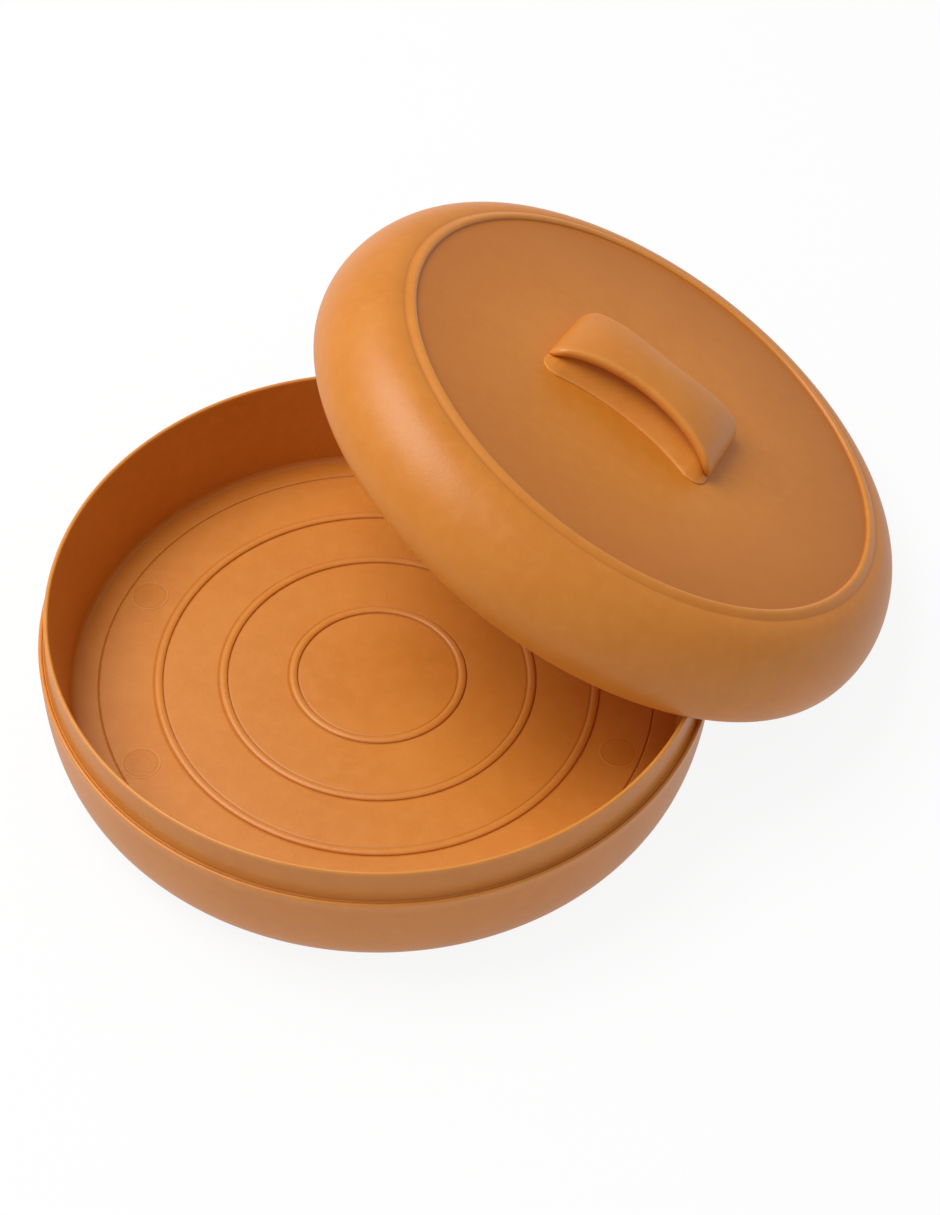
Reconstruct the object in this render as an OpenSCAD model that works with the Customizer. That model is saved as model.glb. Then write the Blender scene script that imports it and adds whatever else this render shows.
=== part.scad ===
// Tortilla warmer: a round double-walled bowl and its domed, double-walled lid with a bridge handle.
// The lid is off. It leans over the bowl, close over the front of the rim, with its low edge just above
// the table. Millimetres, +Z up, with the origin at the centre of the bowl's flat base.

/* [Bowl] */
// Radius of the rim, to the middle of its edge
rim_r = 132; // [128:0.5:136]
// Height of the rim above the table
bowl_h = 61; // [59:0.5:64]
// Height of the inside floor above the table
floor_h = 14.9; // [12:0.1:18]
// Height of the ledge that the closed lid sits on
ledge_h = 44.6; // [43:0.2:46]
// Thickness of the mouldings
wall = 2.2; // [1.8:0.1:2.4]

/* [Bowl floor] */
// Radii of the three raised rings
ring_radii = [35, 63.8, 90.3]; // [20:0.1:105]
// Width of a raised ring
ring_w = 3.4; // [2:0.1:5]
// Height of a raised ring
ring_h = 1; // [0.5:0.1:1.5]
// Radius of the fine groove round the floor
groove_r = 114.8; // [108:0.1:118]

/* [Lid] */
// Height of the lid from its edge to its flat top
lid_h = 37.5; // [34:0.5:42]
// Radius of the flat top, inside the raised bead
disc_r = 108.8; // [100:0.2:110]
// Height of the bead above the flat top
bead_h = 1.5; // [0.8:0.1:2]
// Depth of the air gap between the flat top and the inner ceiling
lid_gap = 8; // [6:0.5:10]

/* [Handle] */
// Length along the arch
handle_l = 82; // [70:1:90]
// Height above the flat top
handle_h = 17; // [14:0.5:19]
// Width of the strap at the middle
strap_w = 29; // [25:0.5:32]
// Width of the strap at both ends
strap_end_w = 44; // [38:0.5:46]
// Width of the foot at the middle
foot_w = 38; // [36:0.5:44]
// Width of the foot at both ends
end_w = 52; // [46:0.5:54]
// Rounding of its four corners, seen from above
end_round = 6; // [3:0.5:8]
// How far each side is scooped out under the strap, as the curve's reach
scoop = 12; // [8:0.5:13]

/* [Where the lid lies] */
// How far the lid leans over
lid_tilt = 27.8; // [27:0.1:29]
// Which way its low edge points, from +X towards +Y
lid_turn = 9.4; // [7:0.1:12]
// Centre of the lid's edge, along X
lid_x = 92.2; // [92.2:0.1:95]
// Centre of the lid's edge, along Y
lid_y = 74; // [71:0.1:77]
// Gap between the low edge and the table
table_gap = 1.4; // [1.2:0.1:3]
// Turn of the handle on the lid
handle_turn = -36.8; // [-60:0.2:0]

/* [Hidden] */
$fn = 180;
clay = [0.80, 0.48, 0.25];
clay_inside = [0.74, 0.42, 0.20];

// bowl
ledge_out = 4.4;                 // how far the ledge's edge is outside the middle of the rim
base_in = 25.4;                  // how far the flat of the base ends inside the ledge's edge
side_over = 9.6;                 // how far above the ledge the side's curve would stand upright
side_power = 3.9;
side_steps = 22;
ledge_edge = 0.9;                // rounding of the ledge's edge
ledge_rise = 1.1;                // how far that edge stands above the seat beside it
seat_in = 1.7;                   // how far the liner's flange ends inside the ledge's edge
flange_t = 0.7;                  // thickness of that flange at its edge
play = 0.1;                      // room round the liner and the pegs
rim_t = 1.85;                    // thickness of the rim
collar_foot_h = 4.3;             // height of the hollow curve at the foot of the collar
collar_flare = 0.4;              // how much wider the collar is above that curve than at the rim
corner = 2.6;                    // rounding between the floor and the inner wall
wall_lean = 5.8;                 // how far the inner wall comes in from the rim down to that rounding
groove_w = 0.8;
groove_d = 0.5;
ledge_r = rim_r + ledge_out;     // widest radius of the bowl
base_r = ledge_r - base_in;
side_top = ledge_h + side_over;
seat_r = ledge_r - seat_in;
inner_foot_r = rim_r - wall_lean;
flange_bore_r = rim_r + play;    // opening in the shell's flange, round the liner's wall

// lid
lid_over = 0.1;                  // how far the lid's widest line is outside the ledge's edge
lid_wide_h = 7.85;               // height of that line
edge_in = 1.7;                   // how far the bottom edge is drawn in below it
edge_t = 1.2;                    // thickness of the bottom edge
bead_w = 5.4;                    // width of the bead, with the valley beside it
bead_step = 1.6;                 // width of its steep inner side
bead_steps = 6;
valley_d = 0.2;                  // how far the valley lies below the flat top
shoulder_power = 1.8;
liner_seat_h = 17.2;             // face inside the shell that the lid liner is welded to
liner_seat_w = 2;                // width of that face
seat_rib_h = 2;                  // height of the thicker wall above it
liner_gap = 0.3;                 // room round the liner's flange
liner_t = 1.8;
dome_in = 0.7;                   // how far the dome's foot is inside the seat
ceiling_in = 2;                  // how far the flat ceiling ends inside the shoulder's start
lid_r = ledge_r + lid_over;      // widest radius of the lid
lid_edge_r = lid_r - edge_in;
lid_bore_r = lid_edge_r - edge_t; // inside, where it passes over the collar
seat_in_r = lid_bore_r - liner_seat_w;
shoulder_r = disc_r + bead_w;
crest_r = disc_r + bead_step;
valley_h = lid_h - valley_d;
under_h = lid_h - wall;
ceiling_h = under_h - lid_gap;
lid_z = lid_edge_r * sin(lid_tilt) + table_gap;

// handle
handle_end_h = 1.2;
arch_power = 2.3;
strap_power = 1.6;
foot_power = 2.2;
scoop_power = 4;
foot_share = 0.8;                // share of the length in which the foot widens
handle_off = [-4, -1];           // middle of the handle, from the middle of the flat top
lip_r = 2.3;
lip_reach = 2;
foot_edge = 0.6;
rise = 0.4;                      // how soon the scoop's wall leaves the foot, as a share of its way
crown = 0.07;                    // how much the strap's top is crowned, as a share of its height
handle_rings = 24;
scoop_steps = 7;
lip_steps = 5;
crown_steps = 3;
peg_r = 3;
peg_at = 24;                     // distance of each peg from the middle of the handle
stake_r = 5;                     // widest radius of the staked end beneath the shell
stake_edge = 1;                  // how much narrower that end is below
stake_h = 1.6;

// A quarter of a superellipse from [r1, z1], where it is upright, to [r2, z2], where it is level.
// It starts at the angle "from".
function quarter(r1, z1, r2, z2, power, steps, from = 0) = [
    for (i = [0:steps]) let (a = from + (90 - from) * i / steps)
        [r2 + (r1 - r2) * pow(cos(a), 2 / power), z1 + (z2 - z1) * pow(sin(a), 2 / power)]];

// The angle at which that curve has done the given share of its climb
function start_at(share, power) = asin(pow(share, power / 2));

function arc(r, z, radius_r, radius_z, a1, a2, steps) = [
    for (i = [0:steps]) let (a = a1 + (a2 - a1) * i / steps)
        [r + radius_r * cos(a), z + radius_z * sin(a)]];

function backwards(list) = [for (i = [len(list) - 1:-1:0]) list[i]];

// A curve moved sideways by d, towards its own right
function moved(list, d) = [
    for (i = [0:len(list) - 1])
        let (a = list[max(i - 1, 0)], b = list[min(i + 1, len(list) - 1)], run = b - a)
            list[i] + d / norm(run) * [run[1], -run[0]]];

// Side of the bowl from height h down to a flat bottom at height bottom
function bowl_side(radius, flat_r, h, bottom) =
    quarter(radius, side_top, flat_r, bottom, side_power, side_steps,
        start_at((side_top - h) / (side_top - bottom), side_power));

module bowl_shell() {
    seat_h = ledge_h;
    crest_h = seat_h + ledge_rise;
    color(clay)
    rotate_extrude()
    polygon(concat(
        [[0, 0]],
        backwards(bowl_side(ledge_r, base_r, crest_h - ledge_edge - 0.1, 0)),
        arc(ledge_r - ledge_edge, crest_h - ledge_edge, ledge_edge, ledge_edge, 0, 150, 6),
        [[seat_r, seat_h], [flange_bore_r, seat_h], [flange_bore_r, seat_h - wall]],
        bowl_side(ledge_r - wall, base_r - wall / 2, seat_h - wall, wall),
        [[0, wall]]
    ));
}

// The floor's rings, from the outside in
function floor_rings() = [
    for (r = backwards(ring_radii)) each arc(r, floor_h, ring_w / 2, ring_h, 0, 180, 8)];

module bowl_liner() {
    rim_out_r = rim_r + rim_t / 2;
    rim_in_r = rim_r - rim_t / 2;
    rim_round_h = bowl_h - rim_t / 2;
    foot_h = floor_h + corner;
    inner_at_seat_r = inner_foot_r + (rim_in_r - inner_foot_r) * (ledge_h - foot_h) / (rim_round_h - foot_h);
    flange_r = seat_r - play;
    flange_top = ledge_h + flange_t;
    collar_r = rim_out_r + collar_flare;
    floor_r = inner_foot_r - corner;
    color(clay_inside)
    rotate_extrude()
    polygon(concat(
        [[0, floor_h - wall]],
        arc(floor_r, foot_h, corner + wall, corner + wall, -90, -6, 6),
        [[inner_at_seat_r + wall, ledge_h], [flange_r, ledge_h]],
        backwards(quarter(collar_r, flange_top + collar_foot_h, flange_r, flange_top, 2, 6)),
        arc(rim_r, rim_round_h, rim_t / 2, rim_t / 2, 0, 180, 10),
        backwards(arc(floor_r, foot_h, corner, corner, -90, -6, 6)),
        [[groove_r + groove_w / 2, floor_h], [groove_r, floor_h - groove_d], [groove_r - groove_w / 2, floor_h]],
        floor_rings(),
        [[0, floor_h]]
    ));
}

// Puts a piece of the lid, drawn with its edge at height 0, where the lid lies
module lid_place() {
    translate([lid_x, lid_y, lid_z])
    rotate([0, lid_tilt, lid_turn])
    children();
}

// The middle of the flat top, turned as the handle is
module handle_place() {
    translate([0, 0, lid_h])
    rotate([0, 0, handle_turn])
    translate(handle_off)
    children();
}

module peg_places() {
    for (side = [-1, 1])
        translate([side * peg_at, 0, 0])
        children();
}

// Outside of the lid's shoulder, from its widest radius up to the valley beside the bead
function shoulder() = quarter(lid_r, lid_wide_h, shoulder_r, valley_h, shoulder_power, side_steps);

// The bead, from the valley over the crest to the steep step down to the flat top
function bead() = concat(
    [for (i = [1:bead_steps - 1]) let (x = 1 - i / bead_steps)
        [crest_r + (shoulder_r - crest_r) * x, valley_h + (lid_h + bead_h - valley_h) * (1 + cos(180 * x)) / 2]],
    arc(crest_r, lid_h, crest_r - disc_r, bead_h, 90, 180, 5));

// Inside of the shell, from the top down: the shoulder, the liner's seat and the bore over the collar
function shell_inside() = concat(
    [[crest_r, under_h]],
    [for (p = backwards(moved(shoulder(), -wall)))
        if (p[0] > shoulder_r && p[0] < seat_in_r - play && p[1] < under_h - play) p],
    [[seat_in_r, liner_seat_h + seat_rib_h], [seat_in_r, liner_seat_h],
     [lid_bore_r, liner_seat_h], [lid_bore_r, 0]]);

module lid_shell() {
    color(clay)
    lid_place()
    difference() {
        rotate_extrude()
        polygon(concat(
            arc(lid_edge_r, lid_wide_h, lid_r - lid_edge_r, lid_wide_h, -90, -15, 5),
            shoulder(),
            bead(),
            [[0, lid_h], [0, under_h]],
            shell_inside()
        ));
        handle_place() peg_places()
            translate([0, 0, -wall - 1])
            cylinder(r = peg_r + play, h = wall + 2);
    }
}

module lid_liner() {
    flange_bottom = liner_seat_h - liner_t;
    flange_r = lid_bore_r - liner_gap;
    dome_r = seat_in_r - dome_in;
    dome = quarter(dome_r, liner_seat_h, shoulder_r - ceiling_in, ceiling_h, 2, 12);
    color(clay_inside)
    lid_place()
    rotate_extrude()
    polygon(concat(
        [[dome_r - liner_t, flange_bottom], [flange_r, flange_bottom], [flange_r, liner_seat_h]],
        dome,
        [[0, ceiling_h], [0, ceiling_h - liner_t]],
        backwards(moved(dome, -liner_t))
    ));
}

function bezier(a, b, c, d, t) =
    pow(1 - t, 3) * a + 3 * pow(1 - t, 2) * t * b + 3 * (1 - t) * t * t * c + pow(t, 3) * d;

// Height of the arch at u, which runs from -1 at one end to 1 at the other
function arch_at(u) = handle_end_h + (handle_h - handle_end_h) * pow(1 - pow(abs(u), arch_power), 1 / arch_power);

// How far a corner's rounding takes the side in, this far from the handle's end
function corner_trim(to_end) =
    let (inset = max(end_round - to_end, 0))
    end_round - sqrt(end_round * end_round - inset * inset);

// Right half of the handle's section at u: foot, scoop, rounded lip and crowned top
function half_section(u) =
    let (
        away = abs(u),
        trim = corner_trim(handle_l / 2 * (1 - away)),
        top = arch_at(u),
        half = strap_w / 2 + (strap_end_w - strap_w) / 2 * pow(away, strap_power) - trim,
        foot = foot_w / 2 + (end_w - foot_w) / 2 * pow(min(away / foot_share, 1), foot_power) - trim,
        waist = half - scoop * (1 - pow(away, scoop_power)),
        lip = min(lip_r, 0.3 * top),
        reach = min(lip_reach, 0.3 * top),
        edge = min(foot_edge, 0.25 * top),
        under = top * (1 - crown) - 2 * lip,
        flat = half - reach
    )
    concat(
        [[foot, 0]],
        [for (i = [0:scoop_steps])
            bezier([foot, edge], [foot + rise * (waist - foot), edge + rise * (under - edge)],
                [waist, under], [flat, under], i / scoop_steps)],
        arc(flat, under + lip, reach, lip, -60, 90, lip_steps),
        [for (i = [1:crown_steps]) let (x = 1 - i / crown_steps) [flat * x, top * (1 - crown * x * x)]]);

// The whole section, up the right side, over the top and down the left side
function section(u) =
    let (right = half_section(u), n = len(right))
    concat(right, [for (i = [n - 2:-1:0]) [-right[i][0], right[i][1]]]);

module handle_arch() {
    places = [for (k = [0:handle_rings]) sin(-90 + 180 * k / handle_rings)];
    n = len(section(0));
    points = [for (u = places) each [for (p = section(u)) [u * handle_l / 2, p[0], p[1]]]];
    sides = [
        for (k = [0:handle_rings - 1], j = [0:n - 1])
            let (a = k * n + j, b = a + n, c = (k + 1) * n + (j + 1) % n, d = c - n)
                each [[a, b, c], [a, c, d]]];
    near_end = [for (j = [0:n - 1]) j];
    far_end = [for (j = [n - 1:-1:0]) handle_rings * n + j];
    polyhedron(points, concat(sides, [near_end, far_end]));
}

module lid_handle() {
    color(clay)
    lid_place() handle_place()
    union() {
        handle_arch();
        peg_places() {
            translate([0, 0, -wall])
                cylinder(r = peg_r, h = wall + handle_h / 3);
            translate([0, 0, -wall - stake_h])
                cylinder(r1 = stake_r - stake_edge, r2 = stake_r, h = stake_h);
        }
    }
}

bowl_shell();
bowl_liner();
lid_shell();
lid_liner();
lid_handle();
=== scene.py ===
import math

import bpy
from mathutils import Matrix, Vector


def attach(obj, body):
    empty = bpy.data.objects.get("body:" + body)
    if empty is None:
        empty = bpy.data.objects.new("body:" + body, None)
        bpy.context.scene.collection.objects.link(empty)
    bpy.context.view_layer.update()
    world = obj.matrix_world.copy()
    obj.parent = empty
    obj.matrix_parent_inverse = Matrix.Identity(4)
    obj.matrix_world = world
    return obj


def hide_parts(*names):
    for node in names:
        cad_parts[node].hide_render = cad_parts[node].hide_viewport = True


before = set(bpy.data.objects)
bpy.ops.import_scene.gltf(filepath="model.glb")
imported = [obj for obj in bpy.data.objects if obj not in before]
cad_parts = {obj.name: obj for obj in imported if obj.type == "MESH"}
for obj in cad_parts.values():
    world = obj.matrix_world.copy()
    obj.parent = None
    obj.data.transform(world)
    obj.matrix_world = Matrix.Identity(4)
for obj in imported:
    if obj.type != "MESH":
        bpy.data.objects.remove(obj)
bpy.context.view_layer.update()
mm = 0.001
onAxis = 1e-6     # a point less than this from the axis is on it
print("frame loaded:", sorted(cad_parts))


# Shader helpers

class Flow:  # one shader value, so that mask maths reads as plain sums
    def __init__(self, tree, socket):
        self.tree = tree
        self.socket = socket

    def work(self, operation, first, second):
        node = self.tree.nodes.new("ShaderNodeMath")
        node.operation = operation
        for spot, value in zip(node.inputs, (first, second)):
            if isinstance(value, Flow):
                self.tree.links.new(value.socket, spot)
            else:
                spot.default_value = value
        return Flow(self.tree, node.outputs[0])

    def __add__(self, other):
        return self.work("ADD", self, other)

    def __radd__(self, other):
        return self.work("ADD", other, self)

    def __sub__(self, other):
        return self.work("SUBTRACT", self, other)

    def __rsub__(self, other):
        return self.work("SUBTRACT", other, self)

    def __mul__(self, other):
        return self.work("MULTIPLY", self, other)

    def __rmul__(self, other):
        return self.work("MULTIPLY", other, self)


class Board:  # a node tree, with the one method that adds any node but a Math node
    def __init__(self, tree):
        self.tree = tree
        self.tree.nodes.clear()

    def add(self, kind, settings=None, values=None, out=None):
        node = self.tree.nodes.new(kind)
        for key, value in (settings or {}).items():
            setattr(node, key, value)
        for key, value in (values or {}).items():
            spot = node.inputs[key] if isinstance(key, int) else next(
                s for s in node.inputs if s.enabled and s.name == key)
            if isinstance(value, Flow):
                self.tree.links.new(value.socket, spot)
            else:
                spot.default_value = value
        shown = [s for s in node.outputs if s.enabled and out in (None, s.name)]
        return Flow(self.tree, shown[0]) if shown else None


def opaque(colour):
    return (*colour, 1.0)


# The plastic: one batch of terracotta, mottled, fine-grained, a little polished on its edges; its edges
# lighter from wear and a painted highlight, its creases darker from painted shade

plasticLook = {
    "tone": (0.640, 0.215, 0.020),      # linear colour of the moulding
    "paleTone": (0.665, 0.235, 0.027),  # where the pigment is thinner
    "deepTone": (0.600, 0.190, 0.013),
    "edgeWearAndHighlightTone": (0.740, 0.290, 0.055),  # rubbed edges, and a painted highlight along them
    # painted shade in creases and hollows
    "creaseShadeTone": (0.400, 0.105, 0.006),
    "cloudsPerMetre": 28.0,             # broad clouding
    "patchesPerMetre": 170.0,           # mottling, about 6 mm
    "grainPerMetre": 800.0,             # moulded grain, about 1 mm
    "cloudRange": (0.30, 0.70),         # noise values between which each layer comes in
    "patchRange": (0.42, 0.80),
    "grainRange": (0.35, 0.75),
    "patchShare": 0.75,                 # how strongly each layer tints
    "grainShare": 0.22,
    # how strongly the painted shade darkens creases
    "creaseShadeShare": 0.55,
    "edgeWearAndHighlight": 0.35,                       # on every edge, wear and painted highlight together
    "patchyWearAndHighlight": 0.40,                 # more of it where the mottling is pale
    "roughness": 0.43,
    "patchRoughness": 0.10,
    "grainRoughness": 0.12,
    "edgePolish": 0.05,
    "grainDepth": 0.060 * mm,
    "patchDepth": 0.045 * mm,
}


def clayPlastic(name):
    look = plasticLook
    material = bpy.data.materials.new(name)
    material.use_nodes = True
    board = Board(material.node_tree)

    def noise(scale, detail, roughness=0.55):
        return board.add(
            "ShaderNodeTexNoise", {"noise_dimensions": "3D"},
            {"Vector": place, "Scale": scale, "Detail": detail, "Roughness": roughness}, "Fac")

    def blend(share, first, second):
        return board.add(
            "ShaderNodeMix", {"data_type": "RGBA", "clamp_factor": True},
            {"Factor": share, "A": first, "B": second})

    def spread(value, limits):
        return board.add(
            "ShaderNodeMapRange", {"clamp": True},
            {"Value": value, "From Min": limits[0], "From Max": limits[1]}, "Result")

    def painted(attribute):
        return board.add("ShaderNodeAttribute", {"attribute_name": attribute}, out="Fac")

    place = board.add("ShaderNodeTexCoord", out="Object")
    clouds = noise(look["cloudsPerMetre"], 2.0)
    patches = noise(look["patchesPerMetre"], 3.0)
    grain = noise(look["grainPerMetre"], 2.0, 0.6)
    edge = painted("edge")
    crease = painted("crease")

    colour = blend(spread(clouds, look["cloudRange"]), opaque(look["deepTone"]), opaque(look["tone"]))
    paleness = spread(patches, look["patchRange"]) * look["patchShare"]
    colour = blend(paleness, colour, opaque(look["paleTone"]))
    speckle = spread(grain, look["grainRange"]) * look["grainShare"]
    colour = blend(speckle, colour, opaque(look["deepTone"]))
    # wear and painted highlight: every edge lighter, towards the edge tone
    edgeWearAndHighlight = edge * (look["edgeWearAndHighlight"] + look["patchyWearAndHighlight"] * patches)
    colour = blend(edgeWearAndHighlight, colour, opaque(look["edgeWearAndHighlightTone"]))
    # painted shade: creases and hollows darker
    colour = blend(crease * look["creaseShadeShare"], colour, opaque(look["creaseShadeTone"]))

    unevenness = (patches - 0.5) * look["patchRoughness"]
    fineness = (grain - 0.5) * look["grainRoughness"]
    roughness = look["roughness"] + unevenness + fineness - edge * look["edgePolish"]
    height = grain * look["grainDepth"] + patches * look["patchDepth"]
    normal = board.add("ShaderNodeBump", None, {"Strength": 1.0, "Distance": 1.0, "Height": height})
    shader = board.add("ShaderNodeBsdfPrincipled", None, {
        "Base Color": colour, "Roughness": roughness, "Normal": normal,
        "Metallic": 0.0, "IOR": 1.49, "Specular IOR Level": 0.5})
    board.add("ShaderNodeOutputMaterial", None, {"Surface": shader})
    return material


# Outlines: lists of (radius, height) in millimetres, with the solid on the left as the line is followed

def arcPoints(centre, radii, start, end, steps):
    points = []
    for i in range(steps + 1):
        angle = math.radians(start + (end - start) * i / steps)
        points.append((centre[0] + radii[0] * math.cos(angle), centre[1] + radii[1] * math.sin(angle)))
    return points


def superQuarter(upright, level, power, steps, share=0.0):
    # a quarter of a superellipse, from the end where it is upright to the end where it is level
    first = math.asin(share ** (power / 2))
    points = []
    for i in range(steps + 1):
        angle = first + (math.pi / 2 - first) * i / steps
        across = max(math.cos(angle), 0.0) ** (2 / power)
        along = math.sin(angle) ** (2 / power)
        points.append((level[0] + (upright[0] - level[0]) * across,
                       upright[1] + (level[1] - upright[1]) * along))
    return points


def shifted(points, distance):
    # the same curve, moved towards its own right
    moved = []
    for i, (r, z) in enumerate(points):
        a = points[max(i - 1, 0)]
        b = points[min(i + 1, len(points) - 1)]
        run = math.dist(a, b)
        moved.append((r + distance * (b[1] - a[1]) / run, z - distance * (b[0] - a[0]) / run))
    return moved


def bends(points):
    # how sharply a closed outline turns near each point: (edge, crease), each from 0 to 1
    sharpRadius = 1.3   # an edge rounded less than this counts as fully sharp
    reach = 0.8         # how far the edge's wear and painted highlight, and the crease's painted shade, spread along the surface
    count = len(points)
    turns, at = [], [0.0]
    for i in range(count):
        a, b, c = points[i - 1], points[i], points[(i + 1) % count]
        first = (b[0] - a[0], b[1] - a[1])
        second = (c[0] - b[0], c[1] - b[1])
        turn = math.atan2(first[0] * second[1] - first[1] * second[0],
                          first[0] * second[0] + first[1] * second[1])
        turns.append(0.0 if abs(b[0]) < onAxis else turn)
        at.append(at[-1] + math.dist(b, c))
    whole = at.pop()
    edges, creases = [], []
    for here in at:
        total = 0.0
        for turn, there in zip(turns, at):
            gap = abs(here - there)
            total += turn * max(0.0, 1 - min(gap, whole - gap) / reach)
        sharp = total * sharpRadius / reach
        edges.append(min(max(sharp, 0.0), 1.0))
        creases.append(min(max(-sharp, 0.0), 1.0))
    return edges, creases


def finishMesh(name, vertices, faces, edges, creases, matrix):
    mesh = bpy.data.meshes.new(name)
    mesh.from_pydata([tuple(c * mm for c in v) for v in vertices], [], faces)
    for key, values in (("edge", edges), ("crease", creases)):
        mesh.attributes.new(key, "FLOAT", "POINT").data.foreach_set("value", values)
    mesh.transform(matrix)
    mesh.shade_smooth()
    piece = bpy.data.objects.new(name, mesh)
    bpy.context.scene.collection.objects.link(piece)
    return piece


def lathe(name, points, around, matrix=Matrix.Identity(4)):
    # the closed outline, turned about the axis
    edges, creases = bends(points)
    vertices, faces, starts = [], [], []
    edgeMarks, creaseMarks = [], []
    for (r, z), edge, crease in zip(points, edges, creases):
        starts.append(len(vertices))
        copies = 1 if r < onAxis else around
        for k in range(copies):
            angle = 2 * math.pi * k / around
            vertices.append((r * math.cos(angle), r * math.sin(angle), z))
        edgeMarks += [edge] * copies
        creaseMarks += [crease] * copies
    for i, low in enumerate(starts):
        j = (i + 1) % len(points)
        high = starts[j]
        lowOnAxis, highOnAxis = points[i][0] < onAxis, points[j][0] < onAxis
        if lowOnAxis and highOnAxis:
            continue
        for k in range(around):
            n = (k + 1) % around
            if lowOnAxis:
                faces.append((low, high + n, high + k))
            elif highOnAxis:
                faces.append((low + k, low + n, high))
            else:
                faces.append((low + k, low + n, high + n, high + k))
    return finishMesh(name, vertices, faces, edgeMarks, creaseMarks, matrix)


def dress(piece, material, body, slotName, *nodes):
    piece.data.materials.append(material)
    if nodes:
        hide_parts(*nodes)
    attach(piece, body)
    print("made", piece.name, len(piece.data.polygons), "faces")


# Bowl

bowl = {
    "rimRadius": 132.0,      # to the middle of the edge
    "rimHeight": 61.0,
    "rimThickness": 1.85,
    "floorHeight": 14.9,
    "ledgeHeight": 44.6,
    "wall": 2.2,
    "sideSpan": 9.6,         # the side's curve would stand upright this far above the ledge
    "sidePower": 3.9,
    "ledgeOut": 4.4,         # ledge, out from the rim's middle
    "baseIn": 25.4,          # flat base, in from the ledge
    "ledgeEdge": 0.9,
    "ledgeRise": 1.1,
    "seatIn": 1.7,           # liner's flange, in from the ledge
    "play": 0.1,
    "flangeThickness": 0.7,
    "collarFoot": 4.3,       # height of the hollow curve at the foot of the collar
    "collarFlare": 0.4,
    "innerFootIn": 5.8,      # inner wall above its rounding, in from the rim's middle
    "corner": 2.6,           # between floor and wall
    "ringRadii": (90.3, 63.8, 35.0),
    "ringWidth": 3.4,
    "ringHeight": 1.0,
    "ringCrease": 0.22,      # fine line on both sides of a ring
    "grooveRadius": 114.8,
    "grooveWidth": 0.8,
    "grooveDepth": 0.4,
    "draft": 0.03,           # how little the collar's outside leans
    "hold": 0.8,             # points this far from a curve keep the stretch beside it straight
    "sideSteps": 44,
    "around": 320,
}
ledgeRadius = bowl["rimRadius"] + bowl["ledgeOut"]
baseRadius = ledgeRadius - bowl["baseIn"]
seatRadius = ledgeRadius - bowl["seatIn"]


def bowlSide(radius, flatRadius, top, bottom):
    upright = bowl["ledgeHeight"] + bowl["sideSpan"]
    share = (upright - top) / (upright - bottom)
    return superQuarter((radius, upright), (flatRadius, bottom), bowl["sidePower"], bowl["sideSteps"], share)


def makeBowlShell():
    crest = bowl["ledgeHeight"] + bowl["ledgeRise"]
    edge = bowl["ledgeEdge"]
    boreRadius = bowl["rimRadius"] + bowl["play"]
    under = bowl["ledgeHeight"] - bowl["wall"]
    points = [(0.0, 0.0), (baseRadius * 0.5, 0.0)]
    points += bowlSide(ledgeRadius, baseRadius, crest - edge - 0.1, 0.0)[::-1]
    points += arcPoints((ledgeRadius - edge, crest - edge), (edge, edge), 0, 150, 12)
    points += [(seatRadius, bowl["ledgeHeight"]), (boreRadius, bowl["ledgeHeight"]), (boreRadius, under)]
    points += bowlSide(ledgeRadius - bowl["wall"], baseRadius - bowl["wall"] / 2, under, bowl["wall"])
    points += [(0.0, bowl["wall"])]
    return lathe("bowlShell", points, bowl["around"])


def floorRing(radius):
    # a rounded bead with a fine crease at both feet, from its outer side in
    half = bowl["ringWidth"] / 2
    level = bowl["floorHeight"]
    crease = bowl["ringCrease"]
    outer = half + crease
    foot = [(outer + 0.9, 0.0), (outer + 0.35, -0.01), (outer, -crease), (half, -crease * 0.6)]
    bead = arcPoints((radius, level), (half, bowl["ringHeight"]), 10, 170, 16)
    return ([(radius + x, level + z) for x, z in foot] + bead
            + [(radius - x, level + z) for x, z in reversed(foot)])


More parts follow.
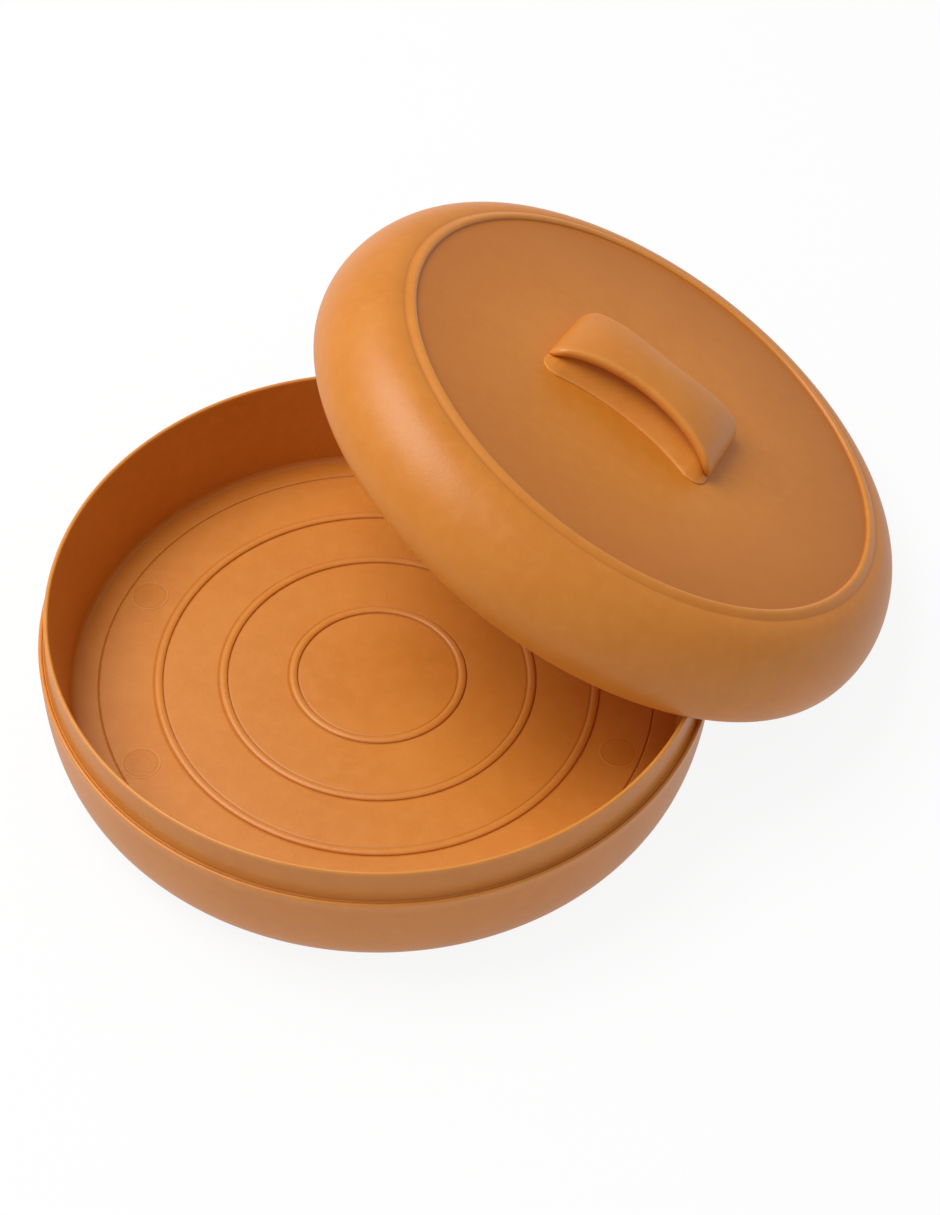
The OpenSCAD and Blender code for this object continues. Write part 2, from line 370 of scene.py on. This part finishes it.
def makeBowlLiner():
    level = bowl["floorHeight"]
    wall = bowl["wall"]
    rim = bowl["rimRadius"]
    half = bowl["rimThickness"] / 2
    rimLine = bowl["rimHeight"] - half
    footRadius = rim - bowl["innerFootIn"]
    corner = bowl["corner"]
    footHeight = level + corner
    floorRadius = footRadius - corner
    seat = bowl["ledgeHeight"]
    flangeRadius = seatRadius - bowl["play"]
    flangeTop = seat + bowl["flangeThickness"]
    collarRadius = rim + half + bowl["collarFlare"]
    collarTop = flangeTop + bowl["collarFoot"]
    climb = (seat - footHeight) / (rimLine - footHeight)
    innerAtSeat = footRadius + (rim - half - footRadius) * climb
    groove = bowl["grooveRadius"]
    grooveHalf = bowl["grooveWidth"] / 2
    draft, hold = bowl["draft"], bowl["hold"]

    points = [(0.0, level - wall), (floorRadius * 0.5, level - wall)]
    points += arcPoints((floorRadius, footHeight), (corner + wall, corner + wall), -90, -6, 10)
    points += [(innerAtSeat + wall, seat), (flangeRadius, seat), (flangeRadius, flangeTop - 0.02)]
    points += superQuarter((collarRadius, collarTop), (flangeRadius, flangeTop), 2, 16)[::-1]
    points += [(collarRadius - draft, collarTop + hold), (rim + half + draft, rimLine - hold)]
    points += arcPoints((rim, rimLine), (half, half), 0, 180, 18)
    points += [(rim - half - 0.1, rimLine - hold), (footRadius + 0.05, footHeight + hold / 2)]
    points += arcPoints((floorRadius, footHeight), (corner, corner), -6, -90, 12)
    points += [(floorRadius - 0.5, level)]
    points += [(groove + grooveHalf + hold / 2, level), (groove + grooveHalf, level)]
    points += arcPoints((groove, level), (grooveHalf * 0.85, bowl["grooveDepth"]), -25, -155, 6)
    points += [(groove - grooveHalf, level), (groove - grooveHalf - hold / 2, level)]
    for radius in bowl["ringRadii"]:
        points += floorRing(radius)
    points += [(bowl["ringRadii"][-1] * 0.5, level), (0.0, level)]
    return lathe("bowlLiner", points, bowl["around"])


floorMarks = {
    "radius": 8.0,
    "height": 0.14,
    "sunk": 0.5,                       # how far it goes into the floor
    "rounding": 0.12,
    "grooveIn": 1.35,                  # fine groove, in from the mark's edge
    "grooveHalf": 0.25,
    "grooveDepth": 0.06,
    "from": 105.5,                     # distance from the bowl's axis
    "angles": (-22, 23, 157, 207),     # degrees round from +X
}


def makeFloorMarks():
    # faint round marks that the mould's pins leave in the floor
    r, top = floorMarks["radius"], floorMarks["height"]
    rounding, sunk = floorMarks["rounding"], floorMarks["sunk"]
    groove, half = r - floorMarks["grooveIn"], floorMarks["grooveHalf"]
    outline = [(0.0, -sunk), (r, -sunk), (r, top - rounding)]
    outline += arcPoints((r - rounding, top - rounding), (rounding, rounding), 30, 90, 3)
    outline += [(r - 0.5, top), (groove + half, top), (groove, top - floorMarks["grooveDepth"])]
    outline += [(groove - half, top), (r - 2.2, top), (0.0, top)]
    for number, angle in enumerate(floorMarks["angles"], 1):
        place = Matrix.Rotation(math.radians(angle), 4, "Z") @ Matrix.Translation(
            Vector((floorMarks["from"], 0, bowl["floorHeight"])) * mm)
        mark = lathe(f"floorMark{number}", outline, 72, place)
        dress(mark, linerPlastic, "bowl", "bowl_inside")


bowlPlastic = clayPlastic("bowlPlastic")
linerPlastic = clayPlastic("linerPlastic")
dress(makeBowlShell(), bowlPlastic, "bowl", "bowl_outside", "bowl_shell")
dress(makeBowlLiner(), linerPlastic, "bowl", "bowl_inside", "bowl_liner")
makeFloorMarks()


# Lid

lid = {
    "height": 37.5,          # edge to flat top
    "widest": 136.5,
    "widestAt": 7.85,
    "edgeIn": 1.7,
    "edgeThickness": 1.2,
    "topRadius": 108.8,      # flat top, inside the bead
    "shoulderStart": 5.4,    # outside the flat top
    "shoulderPower": 1.8,
    "valleyDrop": 0.2,
    "beadHeight": 1.5,
    "beadCrest": 1.6,        # crest, outside the flat top
    "beadFullness": 0.7,     # under 1 makes its outer side rounder
    "wall": 2.2,
    "seatHeight": 17.2,      # where the inner ceiling is welded in
    "seatWidth": 2.0,
    "seatRib": 2.0,          # thicker wall above that face
    "linerRoom": 0.3,
    "domeIn": 0.7,
    "ceilingGap": 8.0,
    "ceilingIn": 2.0,
    "ceilingThickness": 1.8,
    "tilt": 27.8,
    "turn": 9.4,
    "place": (92.2, 74.0),   # centre of the edge
    "tableGap": 1.4,
    "bevel": 0.3,            # on the liner's and the bore's edges
    "shoulderSteps": 52,
    "flankSteps": 14,
    "around": 360,
}
lidEdgeRadius = lid["widest"] - lid["edgeIn"]
lidBore = lidEdgeRadius - lid["edgeThickness"]
shoulderRadius = lid["topRadius"] + lid["shoulderStart"]
lidLift = lidEdgeRadius * math.sin(math.radians(lid["tilt"])) + lid["tableGap"]
lidMatrix = (
    Matrix.Translation(Vector((*lid["place"], lidLift)) * mm)
    @ Matrix.Rotation(math.radians(lid["turn"]), 4, "Z")
    @ Matrix.Rotation(math.radians(lid["tilt"]), 4, "Y")
)


def makeLidShell():
    top, wall = lid["height"], lid["wall"]
    valley = top - lid["valleyDrop"]
    crestRadius = lid["topRadius"] + lid["beadCrest"]
    crest = top + lid["beadHeight"]
    seatIn = lidBore - lid["seatWidth"]
    seat = lid["seatHeight"]
    bevel = lid["bevel"]
    shoulder = superQuarter((lid["widest"], lid["widestAt"]), (shoulderRadius, valley),
                            lid["shoulderPower"], lid["shoulderSteps"])
    flank = []
    for i in range(1, lid["flankSteps"]):
        x = 1 - i / lid["flankSteps"]
        swell = (0.5 + 0.5 * math.cos(math.pi * x)) ** lid["beadFullness"]
        flank.append((crestRadius + (shoulderRadius - crestRadius) * x, valley + (crest - valley) * swell))

    points = [(lidBore, bevel), (lidBore + bevel, 0.0)]
    points += arcPoints((lidEdgeRadius, lid["widestAt"]), (lid["edgeIn"], lid["widestAt"]), -90, -6, 16)
    points += shoulder
    points += flank
    points += arcPoints((crestRadius, top), (lid["beadCrest"], lid["beadHeight"]), 90, 174, 10)
    points += [(lid["topRadius"] - 0.1, top), (lid["topRadius"] - 0.5, top)]
    points += [(lid["topRadius"] * 0.5, top), (0.0, top)]
    points += [(0.0, top - wall), (crestRadius, top - wall)]
    points += [p for p in shifted(shoulder[::-1], wall)
               if shoulderRadius < p[0] < seatIn - 0.1 and p[1] < top - wall - 0.1]
    points += [(seatIn, seat + lid["seatRib"]), (seatIn, seat), (lidBore, seat)]
    return lathe("lidShell", points, lid["around"], lidMatrix)


def makeLidLiner():
    seat, thick = lid["seatHeight"], lid["ceilingThickness"]
    ceiling = lid["height"] - lid["wall"] - lid["ceilingGap"]
    domeRadius = lidBore - lid["seatWidth"] - lid["domeIn"]
    rimOut = lidBore - lid["linerRoom"]
    bevel = lid["bevel"]
    dome = superQuarter((domeRadius, seat), (shoulderRadius - lid["ceilingIn"], ceiling), 2, 24)
    points = [(domeRadius - thick, seat - thick + bevel), (domeRadius - thick + bevel, seat - thick)]
    points += [(rimOut - bevel, seat - thick), (rimOut, seat - thick + bevel), (rimOut, seat)]
    points += dome
    points += [(0.0, ceiling), (0.0, ceiling - thick), (shoulderRadius - 4, ceiling - thick)]
    points += shifted(dome[::-1], thick)[:-1]
    return lathe("lidLiner", points, lid["around"], lidMatrix)


lidPlastic = clayPlastic("lidPlastic")
ceilingPlastic = clayPlastic("ceilingPlastic")
dress(makeLidShell(), lidPlastic, "lid", "lid_outside", "lid_shell")
dress(makeLidLiner(), ceilingPlastic, "lid", "lid_inside", "lid_liner")


# Handle: an arched strap on a spreading foot, with a finger scoop under each side

handle = {
    "length": 82.0,
    "height": 17.0,
    "endHeight": 1.2,
    "archPower": 2.3,
    "strapWidth": 29.0,
    "strapEndWidth": 44.0,
    "strapPower": 1.6,
    "footWidth": 38.0,
    "footPower": 2.2,
    "footShare": 0.8,        # share of the length in which the foot widens
    "endWidth": 52.0,
    "endRounding": 6.0,      # of the four corners, seen from above
    "scoop": 12.0,
    "scoopPower": 4.0,
    "rise": 0.4,             # how soon the scoop's wall leaves the foot, as a share of its way
    "middle": (-4.0, -1.0),  # from the middle of the flat top, along and across the handle
    "lip": (2.0, 2.3),       # reach and half height of the strap's rounded edge
    "lipShare": 0.3,         # most of the height that each may take where the arch is low
    "footEdge": 0.6,
    "footEdgeShare": 0.25,
    "crown": 0.07,
    "sunk": 0.3,             # how far the foot goes into the lid
    "turn": -36.8,
    "rings": 120,
    "scoopSteps": 18,
    "lipSteps": 12,
    "topSteps": 8,
    "pegRadius": 3.0,
    "pegAt": 24.0,
    "pegInside": 4.0,        # how far a peg goes up into the handle
    "stakeRadius": 4.8,
    "stakeFlat": 4.0,        # radius of the stake's flat end
    "stakeDepth": 1.6,
    "stakeEdge": 0.5,
}
handleMatrix = (
    lidMatrix
    @ Matrix.Translation(Vector((0, 0, lid["height"])) * mm)
    @ Matrix.Rotation(math.radians(handle["turn"]), 4, "Z")
    @ Matrix.Translation(Vector((*handle["middle"], 0)) * mm)
)


def handleSection(u):
    # the section at u, which runs from -1 at one end to 1 at the other
    away = abs(u)
    rounding = handle["endRounding"]
    inset = max(rounding - handle["length"] / 2 * (1 - away), 0.0)
    trim = rounding - math.sqrt(rounding ** 2 - inset ** 2)
    end = handle["endHeight"]
    power = handle["archPower"]
    top = end + (handle["height"] - end) * max(1 - away ** power, 0.0) ** (1 / power)
    half, foot = handle["strapWidth"] / 2, handle["footWidth"] / 2
    widening = min(away / handle["footShare"], 1.0) ** handle["footPower"]
    half += (handle["strapEndWidth"] / 2 - half) * away ** handle["strapPower"] - trim
    foot += (handle["endWidth"] / 2 - foot) * widening - trim
    waist = half - handle["scoop"] * (1 - away ** handle["scoopPower"])
    reach, lip = (min(size, handle["lipShare"] * top) for size in handle["lip"])
    edge = min(handle["footEdge"], handle["footEdgeShare"] * top)
    crown = handle["crown"]
    under = top * (1 - crown) - 2 * lip
    flat = half - reach
    right = [(foot, -handle["sunk"]), (foot, edge * 0.6), (foot - 0.05, edge * 0.85)]
    rise = handle["rise"]
    leaving = (foot + rise * (waist - foot), edge + rise * (under - edge))
    corners = [(foot, edge), leaving, (waist, under), (flat, under)]
    firstStep = 0.02
    for i in range(handle["scoopSteps"] + 1):
        t = firstStep + (1 - firstStep) * i / handle["scoopSteps"]
        weights = ((1 - t) ** 3, 3 * t * (1 - t) ** 2, 3 * t * t * (1 - t), t ** 3)
        right.append(tuple(sum(w * c[axis] for w, c in zip(weights, corners)) for axis in (0, 1)))
    right += arcPoints((flat, under + lip), (reach, lip), -60, 90, handle["lipSteps"])
    for i in range(1, handle["topSteps"] + 1):
        x = 1 - i / handle["topSteps"]
        right.append((flat * x, top * (1 - crown * x * x)))
    return right + [(-y, z) for y, z in right[-2::-1]]


def makeHandle():
    vertices, faces, edgeMarks, creaseMarks = [], [], [], []
    rings = handle["rings"]
    for k in range(rings + 1):
        u = math.sin(math.pi * (k / rings - 0.5))
        section = handleSection(u)
        edges, creases = bends(section)
        vertices += [(u * handle["length"] / 2, y, z) for y, z in section]
        edgeMarks += edges
        creaseMarks += creases
    n = len(section)
    for k in range(rings):
        for j in range(n):
            a, d = k * n + j, k * n + (j + 1) % n
            faces.append((a, a + n, d + n, d))
    # the two ends have points of their own, so that they stay flat
    for first, order in ((0, 1), (rings * n, -1)):
        cap = list(range(len(vertices), len(vertices) + n))[::order]
        vertices += vertices[first:first + n]
        # the flat ends count as full edge, so they get full wear and painted highlight
        edgeMarks += [1.0] * n
        creaseMarks += [0.0] * n
        faces.append(cap)
    return finishMesh("lidHandle", vertices, faces, edgeMarks, creaseMarks, handleMatrix)


def makeHandlePegs():
    # staked over beneath the flat top
    r, inside = handle["pegRadius"], handle["pegInside"]
    wide, flat = handle["stakeRadius"], handle["stakeFlat"]
    under = -lid["wall"]
    bottom = under - handle["stakeDepth"]
    outline = [(0.0, bottom), (flat, bottom), (wide, under - handle["stakeEdge"]), (wide, under), (r, under)]
    outline += [(r, inside), (0.0, inside)]
    for number, side in enumerate((-1, 1), 1):
        place = handleMatrix @ Matrix.Translation(Vector((side * handle["pegAt"], 0, 0)) * mm)
        peg = lathe(f"handlePeg{number}", outline, 48, place)
        dress(peg, handlePlastic, "lid", "handle_plastic")


handlePlastic = clayPlastic("handlePlastic")
dress(makeHandle(), handlePlastic, "lid", "handle_plastic", "lid_handle")
makeHandlePegs()


# Table, light and camera

stageLook = {
    "tableTone": (0.86, 0.86, 0.86),
    "tableSize": 6.0,            # metres
    "tableDrop": 0.0002,         # below the bowl's base
    "shadowFade": 0.90,          # how far the table is mixed towards plain white, seen directly
    "skyLevel": 0.45,
    "keyPower": 25.4,
    "keySize": 1.3,
    "keyFrom": (-0.76, 0.26, 1.56),
}
photoView = {
    "place": (0.0, -0.6293, 0.7753),
    "lookDown": 48.72,
    "lookRight": 3.32,
    "roll": 3.35,
    "focal": 70.485,
    "filmHeight": 36.0,
}


def makeTable():
    half = stageLook["tableSize"] / 2
    mesh = bpy.data.meshes.new("table")
    low = -stageLook["tableDrop"]
    corners = [(-half, -half, low), (half, -half, low), (half, half, low), (-half, half, low)]
    mesh.from_pydata(corners, [], [(0, 1, 2, 3)])
    table = bpy.data.objects.new("table", mesh)
    bpy.context.scene.collection.objects.link(table)
    material = bpy.data.materials.new("tablePaper")
    material.use_nodes = True
    board = Board(material.node_tree)
    paper = board.add("ShaderNodeBsdfDiffuse", None, {"Color": opaque(stageLook["tableTone"])})
    white = board.add("ShaderNodeEmission", None, {"Color": opaque((1, 1, 1)), "Strength": 1.0})
    seen = board.add("ShaderNodeLightPath", out="Is Camera Ray")
    mirrored = board.add("ShaderNodeLightPath", out="Is Glossy Ray")
    passed = board.add("ShaderNodeLightPath", out="Is Transmission Ray")
    share = (seen + mirrored + passed) * stageLook["shadowFade"]
    mixed = board.add("ShaderNodeMixShader", None, {"Fac": share, 1: paper, 2: white})
    board.add("ShaderNodeOutputMaterial", None, {"Surface": mixed})
    mesh.materials.append(material)


def makeSky():
    world = bpy.data.worlds.new("studio")
    world.use_nodes = True
    board = Board(world.node_tree)
    seen = board.add("ShaderNodeLightPath", out="Is Camera Ray")
    strength = stageLook["skyLevel"] + seen * (1 - stageLook["skyLevel"])
    sky = board.add("ShaderNodeBackground", None, {"Color": opaque((1, 1, 1)), "Strength": strength})
    board.add("ShaderNodeOutputWorld", None, {"Surface": sky})
    bpy.context.scene.world = world


def makeKeyLight():
    light = bpy.data.lights.new("softKey", "AREA")
    light.shape = "DISK"
    light.size = stageLook["keySize"]
    light.energy = stageLook["keyPower"]
    key = bpy.data.objects.new("softKey", light)
    key.location = stageLook["keyFrom"]
    key.rotation_euler = (-key.location).to_track_quat("-Z", "Y").to_euler()
    bpy.context.scene.collection.objects.link(key)


def makeCamera():
    camera = bpy.data.cameras.new("photoCamera")
    camera.sensor_fit = "VERTICAL"
    camera.sensor_height = photoView["filmHeight"]
    camera.lens = photoView["focal"]
    camera.clip_start = 0.01
    viewer = bpy.data.objects.new("photoCamera", camera)
    viewer.matrix_world = (
        Matrix.Translation(photoView["place"])
        @ Matrix.Rotation(math.radians(-photoView["lookRight"]), 4, "Z")
        @ Matrix.Rotation(math.radians(90 - photoView["lookDown"]), 4, "X")
        @ Matrix.Rotation(math.radians(photoView["roll"]), 4, "Z")
    )
    bpy.context.scene.collection.objects.link(viewer)
    bpy.context.scene.camera = viewer


makeTable()
makeSky()
makeKeyLight()
makeCamera()
bpy.context.scene.view_settings.view_transform = "Standard"
print("stage ready")
